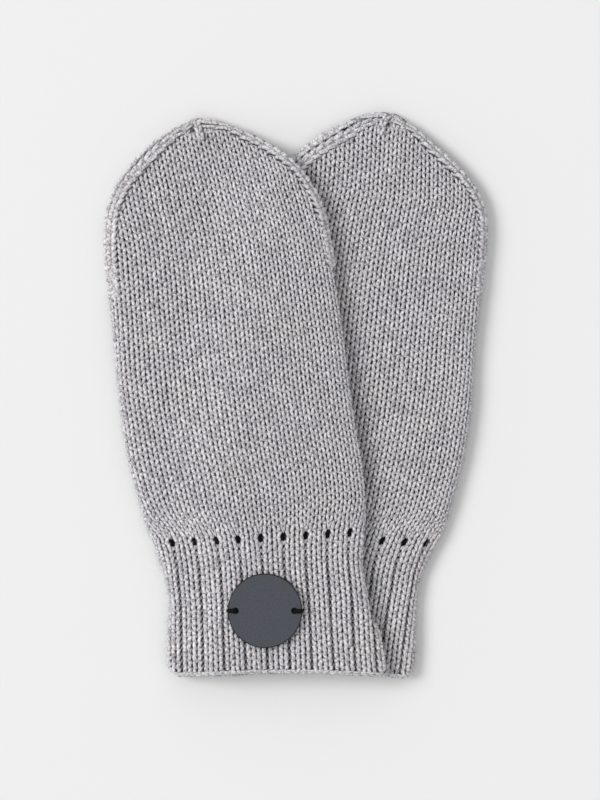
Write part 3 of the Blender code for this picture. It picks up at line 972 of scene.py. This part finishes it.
def bumped(nodes, links, shader, height, strength, distance):
    bump = nodes.new("ShaderNodeBump")
    bump.inputs["Strength"].default_value = strength
    bump.inputs["Distance"].default_value = distance
    links.new(height, bump.inputs["Height"])
    links.new(bump.outputs[0], shader.inputs["Normal"])


def uv_parts(nodes, links, layer):
    """The coordinates of a UV layer, together and one by one."""
    uv = nodes.new("ShaderNodeUVMap")
    uv.uv_map = layer
    parts = nodes.new("ShaderNodeSeparateXYZ")
    links.new(uv.outputs["UV"], parts.inputs[0])
    return uv.outputs["UV"], parts.outputs["X"], parts.outputs["Y"]


def yarn_material():
    """Marled wool: pale and dark fibres twisted together, soft and matt.

    The yarn layer's U runs along a strand in millimetres, and its V runs round it, with the side that faces
    out at 0.5; the sides away from 0.5 get painted shade. The second layer's U is how far the yarn dips among
    its neighbours, and sets the painted shade there.
    """
    made, nodes, links, shader = node_material("marled_yarn")
    uv, _, round_strand = uv_parts(nodes, links, "yarn")
    _, dip, _ = uv_parts(nodes, links, "dip")
    place = nodes.new("ShaderNodeTexCoord").outputs["Object"]

    twisted = vector_maths(nodes, links, uv, "MULTIPLY", (0.8, 1.8, 1.0))
    flecks = ramp(nodes, links, noise(nodes, links, twisted, 2.6, 1.5), [
        (0.36, (0.37, 0.365, 0.375)),
        (0.45, (0.65, 0.64, 0.655)),
        (0.54, (0.84, 0.83, 0.845)),
        (0.63, (0.94, 0.93, 0.94)),
    ])
    # Painted shade: the sides of each strand darken towards its back, standing in for the shade between
    # neighbouring legs.
    painted_flank_shade = ramp(nodes, links, round_strand, [
        (0.25, (0.03, 0.03, 0.032)),
        (0.305, (0.18, 0.18, 0.19)),
        (0.385, (0.87, 0.87, 0.87)),
        (0.615, (0.87, 0.87, 0.87)),
        (0.695, (0.18, 0.18, 0.19)),
        (0.75, (0.03, 0.03, 0.032)),
    ])
    # Painted shade: yarn that dips among its neighbours is darkened, standing in for the shade there.
    dips_shade = ramp(nodes, links, dip, [
        (0.0, (1.0, 1.0, 1.0)),
        (0.45, (0.74, 0.74, 0.75)),
        (1.0, (0.10, 0.10, 0.103)),
    ])
    slow = vector_maths(nodes, links, uv, "MULTIPLY", (0.07, 0.0, 0.0))
    strands = ramp(nodes, links, noise(nodes, links, slow, 1.0), [
        (0.36, (0.80, 0.80, 0.81)),
        (0.64, (1.0, 1.0, 1.0)),
    ])
    heather = ramp(nodes, links, noise(nodes, links, place, 190.0, 3.0), [
        (0.32, (0.92, 0.92, 0.93)),
        (0.68, (1.0, 1.0, 1.0)),
    ])
    dye = ramp(nodes, links, noise(nodes, links, place, 85.0), [
        (0.38, (0.98, 0.972, 0.99)),
        (0.62, (1.0, 0.985, 0.975)),
    ])
    colour = flecks
    for layer in (painted_flank_shade, dips_shade, heather, strands, dye):
        colour = multiplied(nodes, links, colour, layer)
    links.new(colour, shader.inputs["Base Color"])

    plies = nodes.new("ShaderNodeTexWave")
    plies.inputs["Scale"].default_value = 1.0
    plies.inputs["Distortion"].default_value = 0.6
    lay = nodes.new("ShaderNodeCombineXYZ")
    links.new(vector_maths(nodes, links, uv, "DOT_PRODUCT", (0.42, 1.3, 0.0)), lay.inputs["X"])
    links.new(lay.outputs[0], plies.inputs["Vector"])
    bumped(nodes, links, shader, plies.outputs["Fac"], 0.6, 0.00012)
    shader.inputs["Roughness"].default_value = 0.85
    shader.inputs["Sheen Weight"].default_value = 0.15
    shader.inputs["Sheen Roughness"].default_value = 0.5
    shader.inputs["Specular IOR Level"].default_value = 0.25
    return made


def plain_material(name, colour, roughness, grain=0.0, grain_scale=1500.0):
    """One colour with a fine speckle, and a bump of the given strength from the same grain."""
    made, nodes, links, shader = node_material(name)
    shader.inputs["Roughness"].default_value = roughness
    shader.inputs["Specular IOR Level"].default_value = 0.15
    place = nodes.new("ShaderNodeTexCoord").outputs["Object"]
    speckle = noise(nodes, links, place, grain_scale, 3.0)
    darker = tuple(0.8 * c for c in colour)
    links.new(ramp(nodes, links, speckle, [(0.35, darker), (0.65, colour)]), shader.inputs["Base Color"])
    if grain:
        bumped(nodes, links, shader, speckle, grain, 0.0001)
    return made


# Framing: the photograph's frame spans 162 by 216 mm at the mittens' middle height
FRAME_HEIGHT = 216.0 * MM
MIDDLE_HEIGHT = 5.0 * MM
CAMERA_HEIGHT = 1.2
AIM = (1.2 * MM, -1.2 * MM)
SENSOR = 36.0  # in millimetres, as the lens is
FLOOR_REACH = 3.0
FLOOR_DROP = 0.05 * MM  # below the mittens' underside
LAMP_PLACE = (-4.5, 0.9, 4.5)
LAMP_SIZE = 3.4
LAMP_POWER = 264.0
SKY_STRENGTH = 0.68


def stage():
    """The camera straight above, the pale floor, and soft light from the left."""
    scene = bpy.context.scene
    camera = bpy.data.cameras.new("camera")
    camera.sensor_width = SENSOR
    camera.lens = SENSOR * (CAMERA_HEIGHT - MIDDLE_HEIGHT) / FRAME_HEIGHT
    camera.clip_start, camera.clip_end = 0.05, 20.0
    view = bpy.data.objects.new("camera", camera)
    view.location = (*AIM, CAMERA_HEIGHT)
    scene.collection.objects.link(view)
    scene.camera = view

    corners = FLOOR_REACH * np.array([[-1.0, -1.0, 0.0], [1.0, -1.0, 0.0], [1.0, 1.0, 0.0], [-1.0, 1.0, 0.0]])
    floor = mesh_object("floor", corners - [0.0, 0.0, FLOOR_DROP], np.array([[0, 1, 2, 3]]))
    surface, _, _, shader = node_material("pale_surface")
    shader.inputs["Base Color"].default_value = (0.775, 0.78, 0.775, 1.0)
    shader.inputs["Roughness"].default_value = 0.9
    floor.data.materials.append(surface)

    world = bpy.data.worlds.new("world")
    scene.world = world
    world.use_nodes = True
    sky = world.node_tree.nodes["Background"]
    sky.inputs["Color"].default_value = (1.0, 1.0, 1.0, 1.0)
    sky.inputs["Strength"].default_value = SKY_STRENGTH

    lamp = bpy.data.lights.new("window", "AREA")
    lamp.shape = "DISK"
    lamp.size = LAMP_SIZE
    lamp.energy = LAMP_POWER
    lit = bpy.data.objects.new("window", lamp)
    lit.location = LAMP_PLACE
    lit.rotation_euler = (-lit.location).to_track_quat("-Z", "Y").to_euler()
    scene.collection.objects.link(lit)
    scene.view_settings.view_transform = "Standard"


def dress(cloth, yarn, dark, lining):
    """All the yarn of one mitten, and its backing, whose near-black outside is painted shade."""
    name = cloth.mitten.name
    near_tip = np.linspace(142 * MM, LAST, 10)
    hand = backing(cloth, "hand", np.append(np.linspace(WRIST + 0.3 * MM, 140 * MM, 34), near_tip))
    near_eyelets = np.linspace(WRIST - 3.6 * MM, WRIST - 0.3 * MM, 9)
    cuff = backing(cloth, "cuff", np.append(np.linspace(1.0 * MM, WRIST - 4.5 * MM, 22), near_eyelets))
    tip_yarn = [tip_piece(cloth)] + hook_piece(cloth)
    hand_yarn = hand_pieces(cloth) + band_pieces(cloth) + tip_yarn + [fuzz_piece(cloth)]
    cuff_yarn = rib_pieces(cloth) + hem_piece(cloth)
    for node, shell, yarns, start, end in (
        ("hand", hand, hand_yarn, WRIST, LAST), ("cuff", cuff, cuff_yarn, 0.0, WRIST),
    ):
        shell.data.materials.append(dark)
        shell.data.materials.append(lining)
        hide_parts(f"{name}_{node}")
        for piece in yarns:
            piece.data.materials.append(yarn)
        for piece in [shell] + yarns:
            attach(piece, "root")
        runs = cloth.runs[(cloth.runs >= start) & (cloth.runs <= end)]
        girth = cloth.girth(runs, 0) + cloth.girth(runs, 1)


def main():
    stage()
    yarn = yarn_material()
    # Painted shade: the backing's near-black colour stands in for the shade in the gaps between stitches and
    # in the eyelets.
    dark = plain_material("yarn_shade", (0.05, 0.049, 0.051), 0.95)
    lining = plain_material("inner_yarn", (0.42, 0.41, 0.425), 0.9, 0.8, 1100.0)
    for mitten in (LEFT, RIGHT):
        dress(Cloth(mitten), yarn, dark, lining)
    tag, threads = tag_piece()
    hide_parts("leather_tag")
    thread_black = plain_material("waxed_thread", (0.004, 0.004, 0.005), 0.8)
    for thread in threads:
        thread.data.materials.append(thread_black)
    for piece in [tag] + threads:
        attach(piece, "root")


main()
